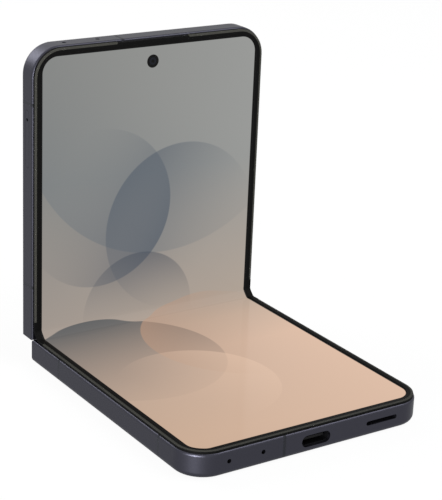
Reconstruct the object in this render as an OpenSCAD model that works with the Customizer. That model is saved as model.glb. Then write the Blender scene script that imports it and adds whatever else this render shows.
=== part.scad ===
// Foldable clamshell phone, standing half open.
//
// Every piece of a half is drawn as it lies when the phone is flat: x runs along the fold,
// s runs out from the fold, and v rises out of the display, whose face is v = 0.
// Pieces of the spine use u in place of s: u is negative over the lower half.
// The placing modules then set each piece where it stands with the phone open at a right angle,
// resting on the back of its lower half.

/* [Body] */
// Width of the body, along the fold
body_w = 73.8; // [70:0.1:80]
// Length of the body when it is flat
open_len = 167; // [158:0.5:176]
// Depth of a half, from the display's face to the back cover's outer face
body_t = 7.25; // [7.1:0.05:8.5]
// Radius of the outer corners, seen from the front
corner_r = 8.3; // [6:0.1:10]
// Radius of the frame's edge at the back
back_edge_r = 1.6; // [0.8:0.1:1.8]
// Radius of the frame's edge beside the display
lip_edge_r = 0.9; // [0.6:0.1:1]
// Thickness of the frame's side walls
wall_t = 2.4; // [2.1:0.1:3]
// Thickness of the plate that divides a frame and carries the display
mid_plate_t = 0.7; // [0.5:0.05:0.9]
// Width of the frame's metal left outside the bezel
lip_w = 0.3; // [0.25:0.05:0.45]
// Depth of the frame's front edge under the display's face
lip_drop = 0.3; // [0.2:0.05:0.35]
// Gap between the ends of the two halves and the middle of the fold
end_gap = 0.2; // [0.08:0.02:0.26]

/* [Back covers] */
// Thickness of the back cover glass
cover_t = 0.6; // [0.4:0.05:0.8]
// Width of frame left round a back cover
cover_margin = 1.3; // [1.2:0.05:1.6]
// Width of frame left between a back cover and the fold
cover_fold_margin = 1.6; // [1.2:0.1:2.5]
// How far a back cover stands out of its frame
cover_proud = 0.05; // [0.02:0.01:0.1]
// Thickness of the tape that holds a back cover
tape_t = 0.08; // [0.05:0.01:0.12]

/* [Display] */
// Thickness of the folding display sheet
panel_t = 0.3; // [0.2:0.02:0.36]
// Thickness of the metal plate behind each flat stretch of display
plate_t = 0.28; // [0.2:0.02:0.34]
// Distance from the middle of the fold to where the display is flat
fold_s = 4; // [3.6:0.05:4.4]
// Distance from the side of the body to the edge of the display sheet
panel_margin = 1.3; // [1.15:0.05:1.6]
// Thickness of the slit steel sheet behind the bend
fold_steel_t = 0.12; // [0.08:0.01:0.16]
// Height of the raised bezel over the display's face
bezel_h = 0.25; // [0.15:0.01:0.28]
// Width of the raised bezel
bezel_w = 1.9; // [1.5:0.05:2.1]
// Distance from the middle of the fold to the end of the raised bezel
bezel_s = 5.8; // [4.5:0.1:6.4]

/* [Hinge] */
// Distance of each hinge axis from the middle of the fold
axis_s = 2; // [1.95:0.01:2.05]
// Depth of the hinge axes under the display's face
axis_depth = 1.7; // [1.66:0.01:1.75]
// Outer radius of the spine about each axis
spine_r = 3.7; // [3.6:0.05:3.8]
// Wall of the spine cover
spine_wall = 0.6; // [0.5:0.05:0.7]
// Depth of the spine cover's rim under the hinge axes
rim_drop = 0.65; // [0.55:0.05:0.9]
// Thickness of the frame beside each end of the spine
cheek_t = 2; // [1.8:0.1:2.4]
// Distance of each hinge module from the middle of the phone
module_x = 16; // [14:0.5:18]
// Radius of the gear shafts
shaft_r = 0.45; // [0.4:0.01:0.48]
// Pitch radius of the timing gears
gear_pitch_r = 0.9; // [0.86:0.01:0.92]
// Teeth on each timing gear
gear_teeth = 10; // [10:2:12]
// Width of the timing gears
gear_w = 2.4; // [1.8:0.1:2.6]
// Radius of the pins that the middle gears turn on
idler_pin_r = 0.3; // [0.25:0.01:0.34]
// Radius of the knuckle at the root of a hinge arm
knuckle_r = 1.02; // [0.9:0.01:1.05]
// Width of that knuckle
knuckle_w = 3; // [2.5:0.1:3.5]
// Thickness of the hinge arms
arm_t = 0.7; // [0.5:0.05:0.75]
// Reach of a hinge arm past the spine's bay, under the frame's plate
arm_reach = 6; // [5.5:0.25:7]
// Width of a hinge arm where it is screwed down
arm_w = 10; // [8:0.5:12]
// Thickness of one disc spring on a gear shaft
disc_t = 0.3; // [0.2:0.02:0.34]
// Disc springs on each gear shaft
disc_count = 5; // [3:1:6]

/* [USB-C port and sound openings] */
// Width of the port's opening in the frame
port_w = 8.9; // [8.7:0.05:9.2]
// Height of the port's opening in the frame
port_h = 3.2; // [3.1:0.05:3.4]
// Wall of the port's shell
port_wall = 0.25; // [0.2:0.01:0.3]
// Depth of the port's middle under the display's face
port_depth = 3.78; // [3.6:0.02:4]
// Distance of the port's middle from the middle of the phone
port_x = 0.6; // [0:0.1:0.8]
// Length of the port's shell
port_len = 7.3; // [6.5:0.1:8]
// Width of the tongue in the port
tongue_w = 6.69; // [6.5:0.01:6.8]
// Thickness of the tongue in the port
tongue_t = 0.7; // [0.6:0.01:0.75]
// Length of the loudspeaker's slot
speaker_slot_len = 10; // [8:0.5:12]
// Height of the loudspeaker's slot
speaker_slot_h = 1.2; // [0.8:0.1:1.4]
// Distance from the side of the body to the middle of that slot
speaker_slot_side = 15.2; // [14:0.1:17]
// Radius of the microphone holes
mic_r = 0.6; // [0.4:0.05:0.65]
// Distance from the side of the body to the outer microphone hole
mic_outer_side = 11; // [10:0.1:13]
// Distance from the side of the body to the inner microphone hole
mic_inner_side = 21.2; // [20:0.1:22.4]
// Length of the earpiece slot between the frame and the display
earpiece_len = 23; // [18:0.5:26]

/* [Antenna breaks] */
// Width of the plastic breaks in the frame
break_w = 0.9; // [0.6:0.1:1.2]
// Depth of the plastic breaks in the frame's wall
break_d = 0.7; // [0.5:0.05:0.8]
// Distance from the middle of the fold to the break beside it
break_fold_s = 16; // [15:0.5:17.5]
// Distance from the outer end to the break beside it
break_end = 15.5; // [14:0.5:16]
// Distance from the middle of the phone to the break in the outer ends
break_end_x = 9.3; // [8.5:0.1:10]

/* [Side keys] */
// Length of the power key
power_len = 13; // [11:0.5:13.5]
// Distance from the middle of the fold to the middle of the power key
power_s = 33.5; // [32:0.5:34]
// Length of the volume key
volume_len = 18; // [16:0.5:18]
// Distance from the outer end to the middle of the volume key
volume_end = 27.5; // [27:0.5:28]
// Tilt of the volume key each way, in degrees
volume_rock = 1; // [0.6:0.1:1.2]
// Radius of the stubs that the volume key rocks on
volume_pin_r = 0.4; // [0.3:0.05:0.5]
// Height of the side keys
key_h = 2.3; // [1.8:0.1:2.6]
// How far the side keys stand out of the frame
key_proud = 0.35; // [0.25:0.05:0.5]
// Travel of the side keys
key_travel = 0.2; // [0.15:0.01:0.25]

/* [SIM tray] */
// Length of the tray's outer face
tray_len = 16; // [15:0.5:17]
// Height of the tray's outer face
tray_h = 2; // [1.8:0.1:2.2]
// Distance from the outer end to the middle of the tray
tray_end = 25.5; // [25:0.1:26.2]
// Radius of the hole for the eject pin
eject_r = 0.45; // [0.35:0.05:0.5]
// Length of the SIM card
sim_len = 12.3; // [12.3:0.1:12.4]
// Width of the SIM card
sim_w = 8.8; // [8.8:0.1:8.9]
// Thickness of the SIM card
sim_t = 0.67; // [0.6:0.01:0.7]

/* [Cameras] */
// Radius of the rear camera rings
ring_r = 7.1; // [6.5:0.1:7.3]
// How far the rear camera rings stand out of the back cover
ring_proud = 1.1; // [0.8:0.1:1.5]
// Width of the metal in a rear camera ring
ring_w = 0.9; // [0.7:0.1:1.2]
// Distance from the side of the body to the wide camera
wide_side = 12.4; // [11.9:0.1:12.9]
// Distance between the two rear cameras
camera_pitch = 15.7; // [15.3:0.1:16.1]
// Distance from the outer end to the rear cameras
rear_camera_end = 12.2; // [11.8:0.1:12.8]
// Radius of the flash lens
flash_r = 1.6; // [1.2:0.1:2]
// Radius of the clear spot in the display over the front camera
front_camera_r = 1.86; // [1.6:0.02:2.1]
// Distance from the outer end to the front camera
front_camera_end = 6.9; // [6.6:0.1:7.4]

/* [Inside] */
// Thickness of the circuit boards
board_t = 0.7; // [0.5:0.05:0.9]
// Length of the charging board, in from the outer end's wall
charging_board_len = 17; // [16:0.5:18]
// Length of the main board, in from the outer end's wall
main_board_len = 38; // [36:0.5:39]
// Width of the main board's stem, beside the rear cameras
board_stem_w = 28; // [26:0.5:29]
// Thickness of the charging coil
coil_t = 0.3; // [0.2:0.05:0.4]
// Outer radius of the charging coil
coil_r = 20; // [17:0.5:21]
// Thickness of the cover display
cover_display_t = 0.6; // [0.5:0.05:0.8]
// Space between a battery and the pieces beside it
battery_gap = 1; // [0.6:0.1:1.4]
// Thickness of the flat cable between the halves
flex_t = 0.1; // [0.06:0.01:0.12]
// Width of the flat cable between the halves
flex_w = 14; // [10:0.5:15]
// Radius of the screw shanks
screw_r = 0.5; // [0.4:0.05:0.55]
// Radius of the screw heads
screw_head_r = 0.95; // [0.85:0.05:1.05]
// Height of the screw heads
screw_head_h = 0.35; // [0.25:0.05:0.4]

/* [Clearances] */
// Gap round pieces that are let into another piece
fit_gap = 0.06; // [0.04:0.01:0.1]
// Gap between the spine and the bays that it turns in
spine_gap = 0.2; // [0.18:0.01:0.25]
// Radial gap of a turning shaft in its bore
running_gap = 0.03; // [0.015:0.005:0.05]
// Radial gap of a pressed shaft or pin in its bore
press_gap = 0.01; // [0.005:0.001:0.015]
// Gap between pieces that slide or turn past each other
side_gap = 0.2; // [0.15:0.01:0.22]

/* [Hidden] */

$fn = 64;
// Overlap that makes one piece of two shapes, and that carries a cut through a face
bite = 0.5;

// The body
half_len = open_len / 2;
half_w = body_w / 2;
frame_back_v = -(body_t - cover_proud);
plate_inset = 0.2;
steel_inset = 0.4;
seat_v = -(panel_t + plate_t) - 0.02;
mid_back_v = seat_v - mid_plate_t;
cover_in_v = -(body_t - cover_t);
ledge_v = cover_in_v + tape_t;
tape_fold_w = 1.5;
tape_cavity_w = 0.5;
cavity_end = half_len - wall_t;
cavity_x = half_w - wall_t;

// The hinge, with each half turned this far about its own axis from flat
rest_turn = 45;
axis_v = -axis_depth;
fold_corner_s = axis_depth - axis_s * (1 / cos(rest_turn) - 1);
bay_r = spine_r + spine_gap;
bay_x = half_w - cheek_t;
bay_end_s = axis_s + bay_r;
bay_wall = 1;
cavity_s = bay_end_s + bay_wall;
end_round_r = axis_s - 0.05;
spine_x = bay_x - side_gap;
spine_floor_v = axis_v - spine_r + spine_wall;
rim_v = axis_v - rim_drop;
arm_top_v = mid_back_v;
arm_end_s = cavity_s + arm_reach;
arm_screw_s = cavity_s + arm_reach * 0.6;
arm_screw_spread = arm_w * 0.3;
arm_screw_cover = 0.15;

// Stations along a hinge module, from its gears outwards
gear_half_w = gear_w / 2;
ear_t = 1;
ear_r = 0.93;
inner_ear_x = gear_half_w + side_gap;
knuckle_x = inner_ear_x + ear_t + side_gap;
outer_ear_x = knuckle_x + knuckle_w + side_gap;
disc_x = outer_ear_x + ear_t + side_gap / 4;
disc_pitch = disc_t + 0.04;
clip_x = disc_x + disc_count * disc_pitch;
clip_t = 0.5;
clip_r = 0.95;
shaft_end_x = clip_x + clip_t + 0.15;
arm_mid_x = knuckle_x + knuckle_w / 2;
base_slab_h = 0.45;
base_foot = 2.4;
ear_web_drop = 0.3;
spine_screw_depth = 0.33;
spine_end_wall = 0.8;

// The gear train: a gear on each hinge axis, and two more hung lower between them
idler_u = gear_pitch_r;
idler_drop = sqrt(pow(2 * gear_pitch_r, 2) - pow(axis_s - idler_u, 2));
idler_v = axis_v - idler_drop;
tooth_pitch_deg = 360 / gear_teeth;
gear_module = 2 * gear_pitch_r / gear_teeth;
gear_tip_r = gear_pitch_r + 0.85 * gear_module;
mesh_deg = atan2(-idler_drop, axis_s - idler_u);
lower_main_deg = mesh_deg;
lower_idler_deg = mesh_deg + 180 + tooth_pitch_deg / 2;
upper_idler_deg = 180 - lower_idler_deg + tooth_pitch_deg / 2;
upper_main_deg = 180 - mesh_deg + tooth_pitch_deg / 2;

// The bend of the display at rest, an arc that meets both flat stretches
fold_r = fold_s - fold_corner_s;
bend_steps = 18;

// Where the phone stands: on its lower back cover, over the middle of its outline
fold_y = (half_len + fold_corner_s - body_t - ring_proud) / 2;
fold_z = body_t;

// Inside
stack_gap = 0.06;
hang_gap = 0.1;
flex_v = mid_back_v - stack_gap;
battery_top_v = flex_v - flex_t - stack_gap;
board_top_v = mid_back_v - hang_gap;
board_back_v = board_top_v - board_t;
board_edge_gap = 0.4;
battery_s = arm_end_s + battery_gap;
battery_x = cavity_x - 3.6;
end_mic_v = -3.4;
mic_outer_x = half_w - mic_outer_side;
mic_inner_x = half_w - mic_inner_side;
mic_w = 2.6;
mic_len = 3;
mic_t = 1.5;

// Inside the lower half
charging_board_s = cavity_end - charging_board_len;
lower_battery_end = charging_board_s - battery_gap;
coil_back_v = cover_in_v + 0.12;
coil_air = 0.15;
lower_battery_back_v = coil_back_v + coil_t + coil_air;
port_setback = 0.8;
port_back_wall = 0.3;
port_front_s = half_len - port_setback;
shell_w = port_w - 2 * fit_gap;
shell_h = port_h - 2 * fit_gap;
tongue_setback = 0.9;
speaker_slot_x = half_w - speaker_slot_side;
speaker_w = speaker_slot_len + 4;
speaker_x0 = speaker_slot_x - speaker_w / 2;
speaker_depth = 11;
speaker_back_v = -5.4;
speaker_mesh_t = 0.4;
board_bridge = 3;
motor_x0 = 9.9 - half_w;
motor_w = 9;
motor_len = 6;
motor_h = 3.2;
motor_end = 13.5;

// Inside the upper half
main_board_s = cavity_end - main_board_len;
upper_battery_end = main_board_s - battery_gap;
cover_display_back_v = cover_in_v + 0.05;
can_h = 1.6;
can_len = 16;
left_can_w = 22;
right_can_w = 20;
left_can_x0 = -17;
right_can_x0 = left_can_x0 + left_can_w + 2;
can_edge = 2;
rear_camera_s = half_len - rear_camera_end;
wide_x = half_w - wide_side;
ultra_x = wide_x - camera_pitch;
window_r = ring_r - ring_w;
window_t = 0.7;
window_recess = 0.2;
window_ledge = 0.8;
ring_foot_v = cover_in_v + 0.5;
lens_gap = 0.3;
wide_size = 11.5;
wide_barrel_r = 4.6;
ultra_size = 9;
ultra_barrel_r = 3.6;
flash_x = ultra_x - 12.8;
flash_len = 1.1;
front_camera_s = half_len - front_camera_end;
front_camera_size = 5;
front_camera_barrel_r = 2.1;
front_camera_back_v = -4.2;
earpiece_wall = 0.5;
earpiece_w = 8;
earpiece_depth = 5;
earpiece_duct_v = -2.6;
earpiece_back_v = -4.9;
earpiece_mesh_t = 0.2;

// The side keys and their switches
key_v = -3.5;
volume_s = half_len - volume_end;
key_flange_t = 0.4;
key_flange_over = 0.5;
volume_pivot_x = half_w - 1.2;
volume_pin_reach = 0.6;
volume_play = fit_gap + (volume_len / 2 + key_flange_over) * sin(volume_rock) + 0.03;
switch_t = 0.45;
switch_r = 1.1;
switch_gap = 0.05;
bracket_t = 0.5;

// The SIM tray: the card lies in the carrier with its long side across the phone
tray_s = half_len - tray_end;
tray_v = -3.43;
tray_face_t = 1.3;
carrier_t = 1.1;
carrier_len = sim_len + 3;
carrier_w = sim_w + 1.2;
carrier_x = -half_w + tray_face_t;
carrier_s = tray_s - tray_len / 2 + carrier_w / 2 + 1;
pocket_x = carrier_x + 1.4;
pocket_floor = 0.2;
eject_s = tray_s + tray_len / 2 - 2.6;
seal_x = -half_w + 0.55;
seal_w = 0.4;
seal_depth = 0.3;
socket_wall = 0.2;

// ---------------------------------------------------------------- placing

module in_lower_half() {
    translate([0, fold_y, fold_z]) mirror([0, 1, 0]) children();
}

module in_spine() {
    translate([0, fold_y - axis_s, fold_z + axis_v])
        rotate([rest_turn, 0, 0])
            translate([0, axis_s, -axis_v])
                children();
}

module in_upper_half() {
    in_spine()
        translate([0, axis_s, axis_v])
            rotate([rest_turn, 0, 0])
                translate([0, -axis_s, -axis_v])
                    children();
}

// A flat shape in s and v, drawn out along x
module along_x(x0, w) {
    translate([x0, 0, 0]) rotate([90, 0, 90]) linear_extrude(w) children();
}

// A rod along x
module rod_x(x0, w, s, v, r) {
    translate([x0, s, v]) rotate([0, 90, 0]) cylinder(h = w, r = r);
}

// The same piece at the left and the right hinge module, each drawn outwards from its gears
module both_modules() {
    for (side = [0, 1]) mirror([side, 0, 0]) translate([module_x, 0, 0]) children();
}

// A slot with round ends, drawn along y through a wall, centred on x and v
module slot_y(x, y0, depth, v, w, h) {
    for (end = [-1, 1])
        translate([x + end * (w - h) / 2, y0, v]) rotate([-90, 0, 0]) cylinder(h = depth, r = h / 2);
    translate([x - (w - h) / 2, y0, v - h / 2]) cube([w - h, depth, h]);
}

// A slot with round ends, drawn along x through a wall, centred on s and v
module slot_x(x0, depth, s, v, w, h) {
    for (end = [-1, 1]) rod_x(x0, depth, s + end * (w - h) / 2, v, h / 2);
    translate([x0, s - (w - h) / 2, v - h / 2]) cube([depth, w - h, h]);
}

// ---------------------------------------------------------------- outlines

// Outline of a half in x and s, drawn in from its sides and its outer end by inset
module half_outline(inset, s0) {
    w = half_w - inset;
    e = half_len - inset;
    r = corner_r - inset;
    translate([-w, s0]) square([2 * w, e - r - s0]);
    translate([-w + r, s0]) square([2 * (w - r), e - s0]);
    for (side = [-1, 1]) translate([side * (w - r), e - r]) circle(r);
}

module half_slab(inset, s0, v0, v1) {
    translate([0, 0, v0]) linear_extrude(v1 - v0) half_outline(inset, s0);
}

// A band that follows the outline between two insets
module half_band(inset_out, inset_in, s0, v0, v1) {
    difference() {
        half_slab(inset_out, s0, v0, v1);
        half_slab(inset_in, s0 - 1, v0 - 1, v1 + 1);
    }
}

// Section of a frame's edge in its outward direction and v, from far inside out to reach
module edge_section(start, reach) {
    top_v = -lip_drop;
    translate([start, frame_back_v + back_edge_r])
        square([reach - start, top_v - lip_edge_r - frame_back_v - back_edge_r]);
    translate([start, frame_back_v]) square([reach - back_edge_r - start, 2 * back_edge_r]);
    translate([start, top_v - 2 * lip_edge_r]) square([reach - lip_edge_r - start, 2 * lip_edge_r]);
    translate([reach - back_edge_r, frame_back_v + back_edge_r]) circle(back_edge_r);
    translate([reach - lip_edge_r, top_v - lip_edge_r]) circle(lip_edge_r);
}

// Solid outer form of a half, with its corners and edges rounded
module half_block() {
    corner_x = half_w - corner_r;
    corner_s = half_len - corner_r;
    for (side = [0, 1])
        mirror([side, 0, 0])
            translate([0, corner_s, 0])
                rotate([90, 0, 0])
                    linear_extrude(corner_s - end_gap)
                        edge_section(0, half_w);
    along_x(-corner_x, 2 * corner_x) edge_section(end_gap, half_len);
    for (side = [0, 1])
        mirror([side, 0, 0])
            translate([corner_x, corner_s, 0])
                rotate_extrude(angle = 90)
                    edge_section(0, corner_r);
}

// Boxes across the frame's wall where the plastic breaks are let in
module break_boxes() {
    height = body_t + 2;
    for (side = [-1, 1], s = [break_fold_s, half_len - break_end])
        translate([side * half_w - break_d, s - break_w / 2, -body_t - 1])
            cube([2 * break_d, break_w, height]);
    translate([-break_end_x - break_w / 2, half_len - break_d, -body_t - 1])
        cube([break_w, 2 * break_d, height]);
}

// ---------------------------------------------------------------- frames

// What both frames share: the bay for the spine, the seats for display and cover, the cavity
module half_frame() {
    difference() {
        half_block();
        // Seat of the display and its bezel
        half_slab(lip_w, -1, seat_v, 2);
        // Cavity for the battery and boards
        half_slab(wall_t, cavity_s, -body_t, mid_back_v);
        // Seat of the back cover
        half_slab(cover_margin - fit_gap, cover_fold_margin - fit_gap, -body_t - 1, ledge_v);
        // Bay that the spine turns in
        rod_x(-bay_x, 2 * bay_x, axis_s, axis_v, bay_r);
        translate([-bay_x, -1, axis_v - bay_r]) cube([2 * bay_x, axis_s + 1, bay_r + axis_depth + 1]);
        translate([-bay_x, -1, axis_v]) cube([2 * bay_x, bay_end_s + 1, axis_depth + 1]);
        // Ends rounded about the hinge axis, so that the halves turn past each other
        difference() {
            translate([-half_w - 1, -1, axis_v]) cube([body_w + 2, axis_s + 1, axis_depth + 2]);
            rod_x(-half_w - 2, body_w + 4, axis_s, axis_v, end_round_r);
        }
        // Slots that the hinge arms pass through
        both_modules()
            translate([knuckle_x - side_gap, bay_end_s - bite, arm_top_v - arm_t - side_gap])
                cube([knuckle_w + 2 * side_gap, bay_wall + 2 * bite, arm_t + side_gap]);
        // Slot for the flat cable
        translate([-flex_w / 2 - side_gap, bay_end_s - bite, flex_v - flex_t - side_gap])
            cube([flex_w + 2 * side_gap, bay_wall + 2 * bite, mid_back_v - flex_v + flex_t + side_gap]);
        // Screw holes for the hinge arms
        arm_screw_places()
            translate([0, 0, -mid_plate_t - bite])
                cylinder(h = mid_plate_t + bite - arm_screw_cover, r = screw_r);
    }
}

module arm_screw_places() {
    both_modules()
        for (side = [-1, 1])
            translate([arm_mid_x + side * arm_screw_spread, arm_screw_s, seat_v])
                children();
}

module mic_holes() {
    for (x = [mic_outer_x, mic_inner_x])
        translate([-x, cavity_end - bite, end_mic_v])
            rotate([-90, 0, 0]) cylinder(h = wall_t + 2 * bite, r = mic_r);
}

module lower_frame() {
    color([0.27, 0.27, 0.32])
        in_lower_half()
            difference() {
                half_frame();
                break_boxes();
                slot_y(port_x, cavity_end - bite, wall_t + 2 * bite, -port_depth, port_w, port_h);
                slot_y(speaker_slot_x, cavity_end - bite, wall_t + 2 * bite, end_mic_v,
                    speaker_slot_len, speaker_slot_h);
                mic_holes();
            }
}

module key_slot(s, len) {
    slot_x(cavity_x - bite, wall_t + 2 * bite, s, key_v, len + 2 * fit_gap, key_h + 2 * fit_gap);
}

module upper_frame() {
    color([0.27, 0.27, 0.32])
        in_upper_half()
            difference() {
                half_frame();
                break_boxes();
                mic_holes();
                key_slot(power_s, power_len);
                key_slot(volume_s, volume_len);
                volume_pin(volume_pin_reach + running_gap, volume_pin_r + running_gap);
                // Mouth of the SIM tray
                slot_x(-half_w - bite, wall_t + 2 * bite, tray_s, tray_v,
                    tray_len + 2 * fit_gap, tray_h + 2 * fit_gap);
                // Hole for the front camera
                translate([0, front_camera_s, mid_back_v - bite])
                    cylinder(h = mid_plate_t + 2 * bite, r = front_camera_barrel_r + side_gap);
                // Channel of the earpiece, between the display and the frame
                translate([-earpiece_len / 2, half_len - panel_margin + fit_gap, mid_back_v - bite])
                    cube([earpiece_len, panel_margin - earpiece_wall - 2 * fit_gap, mid_plate_t + 2 * bite]);
                translate([-earpiece_len / 2, cavity_end - bite, earpiece_duct_v])
                    cube([earpiece_len, wall_t - earpiece_wall - fit_gap + bite,
                        seat_v - earpiece_duct_v + bite]);
            }
}

// Plastic let into the frame's wall, flush with it all round
module antenna_breaks() {
    difference() {
        intersection() {
            half_block();
            break_boxes();
        }
        half_slab(lip_w, -1, seat_v, 2);
    }
}

module lower_antenna_breaks() {
    color([0.20, 0.20, 0.24]) in_lower_half() antenna_breaks();
}

module upper_antenna_breaks() {
    color([0.20, 0.20, 0.24]) in_upper_half() antenna_breaks();
}

// ---------------------------------------------------------------- back covers

module back_cover() {
    half_slab(cover_margin, cover_fold_margin, -body_t, cover_in_v);
}

module cover_tape() {
    difference() {
        half_slab(cover_margin + fit_gap, cover_fold_margin + fit_gap, cover_in_v, ledge_v);
        half_slab(wall_t, cavity_s, -body_t, 0);
        // Left off over the spine's bay, apart from a strip along each edge
        translate([-cavity_x, cover_fold_margin + tape_fold_w, -body_t])
            cube([2 * cavity_x, cavity_s - tape_cavity_w - cover_fold_margin - tape_fold_w, body_t]);
    }
}

module lower_back_cover() {
    color([0.22, 0.23, 0.28]) in_lower_half() back_cover();
}

module lower_cover_tape() {
    color([0.08, 0.08, 0.09]) in_lower_half() cover_tape();
}

module upper_back_cover() {
    color([0.05, 0.05, 0.06])
        in_upper_half() difference() {
            back_cover();
            for (x = [wide_x, ultra_x])
                translate([x, rear_camera_s, -body_t - 1]) cylinder(h = cover_t + 2, r = ring_r + fit_gap);
            translate([flash_x, rear_camera_s, -body_t - 1]) cylinder(h = cover_t + 2, r = flash_r + fit_gap);
        }
}

module upper_cover_tape() {
    color([0.08, 0.08, 0.09])
        in_upper_half() difference() {
            cover_tape();
            for (x = [wide_x, ultra_x])
                translate([x, rear_camera_s, -body_t]) cylinder(h = body_t, r = ring_r + fit_gap);
        }
}

// ---------------------------------------------------------------- display

module display_panel() {
    half_slab(panel_margin, fold_s, -panel_t, 0);
}

module display_plate() {
    half_slab(panel_margin + plate_inset, fold_s + bite, -panel_t - plate_t, -panel_t);
}

// Raised bezel: a rim on the display's edge, with a skirt down to the frame's seat
module bezel() {
    outer = lip_w + fit_gap;
    half_band(outer, outer + bezel_w, bezel_s, 0, bezel_h);
    half_band(outer, panel_margin - fit_gap, bezel_s, seat_v, bezel_h / 2);
}

module lower_display_panel() {
    color([0.78, 0.67, 0.59]) in_lower_half() display_panel();
}

module lower_display_plate() {
    color([0.5, 0.5, 0.52]) in_lower_half() display_plate();
}

module lower_bezel() {
    color([0.06, 0.06, 0.06]) in_lower_half() bezel();
}

module upper_display_panel() {
    color([0.56, 0.56, 0.54])
        in_upper_half() difference() {
            display_panel();
            translate([0, front_camera_s, -panel_t - 1])
                cylinder(h = panel_t + 2, r = front_camera_r);
        }
}

module upper_display_plate() {
    color([0.5, 0.5, 0.52])
        in_upper_half() difference() {
            display_plate();
            translate([0, front_camera_s, seat_v - 1])
                cylinder(h = 2, r = front_camera_barrel_r + side_gap);
        }
}

module upper_bezel() {
    color([0.06, 0.06, 0.06])
        in_upper_half() difference() {
            bezel();
            // Room for the earpiece channel and its mesh
            translate([-earpiece_len / 2, half_len - panel_margin, seat_v - 1])
                cube([earpiece_len, panel_margin, 1 - seat_v + bezel_h + 1]);
        }
}

// Line in y and z that lies a given depth behind the display, from s0 on the lower half,
// round the bend and up to s1 on the upper half
function bend_line(depth, s0, s1) = concat(
    s0 > fold_s ? [[fold_y - s0, fold_z - depth]] : [],
    [for (i = [0 : bend_steps])
        let (turn = -90 + i * 90 / bend_steps, r = fold_r + depth)
            [fold_y - fold_s + r * cos(turn), fold_z + fold_r + r * sin(turn)]],
    s1 > fold_s ? [[fold_y - fold_corner_s + depth, fold_z - fold_corner_s + s1]] : []
);

function backwards(points) = [for (i = [len(points) - 1 : -1 : 0]) points[i]];

// Bent strip between two depths behind the display, w wide from x0
module bend(x0, w, depth0, depth1, s0 = fold_s, s1 = fold_s) {
    along_x(x0, w) polygon(concat(bend_line(depth0, s0, s1), backwards(bend_line(depth1, s0, s1))));
}

module fold_display() {
    panel_x = half_w - panel_margin;
    color([0.66, 0.6, 0.55]) bend(-panel_x, 2 * panel_x, 0, panel_t);
}

module fold_steel_sheet() {
    sheet_x = half_w - panel_margin - steel_inset;
    color([0.55, 0.55, 0.57]) bend(-sheet_x, 2 * sheet_x, panel_t, panel_t + fold_steel_t);
}

// Black rubber strips that carry the bezel's line round the bend
module fold_edge_strips() {
    outer_x = half_w - lip_w - fit_gap;
    inner_x = outer_x - bezel_w;
    color([0.03, 0.03, 0.03])
        for (side = [0, 1])
            mirror([side, 0, 0]) bend(inner_x, bezel_w, -bezel_h, 0, bezel_s, bezel_s);
}

// ---------------------------------------------------------------- hinge

// Arm with its knuckle, one at each hinge module
module hinge_arms() {
    both_modules()
        difference() {
            union() {
                rod_x(knuckle_x, knuckle_w, axis_s, axis_v, knuckle_r);
                translate([knuckle_x, axis_s, arm_top_v - arm_t])
                    cube([knuckle_w, arm_end_s - axis_s, arm_t]);
                translate([arm_mid_x - arm_w / 2, cavity_s + side_gap, arm_top_v - arm_t])
                    cube([arm_w, arm_end_s - cavity_s - side_gap, arm_t]);
            }
            rod_x(knuckle_x - 1, knuckle_w + 2, axis_s, axis_v, shaft_r + press_gap);
            for (side = [-1, 1])
                translate([arm_mid_x + side * arm_screw_spread, arm_screw_s, arm_top_v - arm_t - 1])
                    cylinder(h = arm_t + 2, r = screw_r + fit_gap);
        }
}

module lower_hinge_arms() {
    color([0.62, 0.62, 0.64]) in_lower_half() hinge_arms();
}

module upper_hinge_arms() {
    color([0.62, 0.62, 0.64]) in_upper_half() hinge_arms();
}

// Outline of a timing gear with one tooth at angle turn
module gear_outline(turn) {
    root_r = gear_pitch_r - 1.2 * gear_module;
    root_share = 0.27;
    tip_share = 0.10;
    polygon([
        for (i = [0 : gear_teeth - 1], p = [[root_r, -root_share], [gear_tip_r, -tip_share],
                [gear_tip_r, tip_share], [root_r, root_share]])
            let (a = turn + (i + p[1]) * tooth_pitch_deg)
                [p[0] * cos(a), p[0] * sin(a)]
    ]);
}

// Shaft with its timing gear and end clip, drawn at u and turned into mesh
module gear_shaft(u, turn) {
    rod_x(-inner_ear_x - ear_t, inner_ear_x + ear_t + shaft_end_x, u, axis_v, shaft_r);
    rod_x(clip_x, clip_t, u, axis_v, clip_r);
    along_x(-gear_half_w, gear_w) translate([u, axis_v]) gear_outline(turn);
}

module lower_gear_shafts() {
    color([0.7, 0.7, 0.72]) in_spine() both_modules() gear_shaft(-axis_s, lower_main_deg);
}

module upper_gear_shafts() {
    color([0.7, 0.7, 0.72]) in_spine() both_modules() gear_shaft(axis_s, upper_main_deg);
}

module idler_gear(u, turn) {
    along_x(-gear_half_w, gear_w)
        translate([u, idler_v])
            difference() {
                gear_outline(turn);
                circle(idler_pin_r + running_gap);
            }
}

module lower_idler_gears() {
    color([0.75, 0.72, 0.6]) in_spine() both_modules() idler_gear(-idler_u, lower_idler_deg);
}

module upper_idler_gears() {
    color([0.75, 0.72, 0.6]) in_spine() both_modules() idler_gear(idler_u, upper_idler_deg);
}

// Solid section of the spine with the given radius, up to its rim
module spine_section(r) {
    difference() {
        union() {
            for (side = [-1, 1]) translate([side * axis_s, axis_v]) circle(r);
            translate([-axis_s, axis_v - r]) square([2 * axis_s, r]);
        }
        translate([-axis_s - r - 1, rim_v]) square([2 * (axis_s + r + 1), 2 * r]);
    }
}

module spine_cover() {
    color([0.27, 0.27, 0.32])
        in_spine() difference() {
            along_x(-spine_x, 2 * spine_x) spine_section(spine_r);
            along_x(-spine_x + spine_end_wall, 2 * (spine_x - spine_end_wall))
                spine_section(spine_r - spine_wall);
            spine_screw_places()
                translate([0, 0, -spine_screw_depth - 0.02]) cylinder(h = 1, r = screw_r + press_gap);
        }
}

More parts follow.
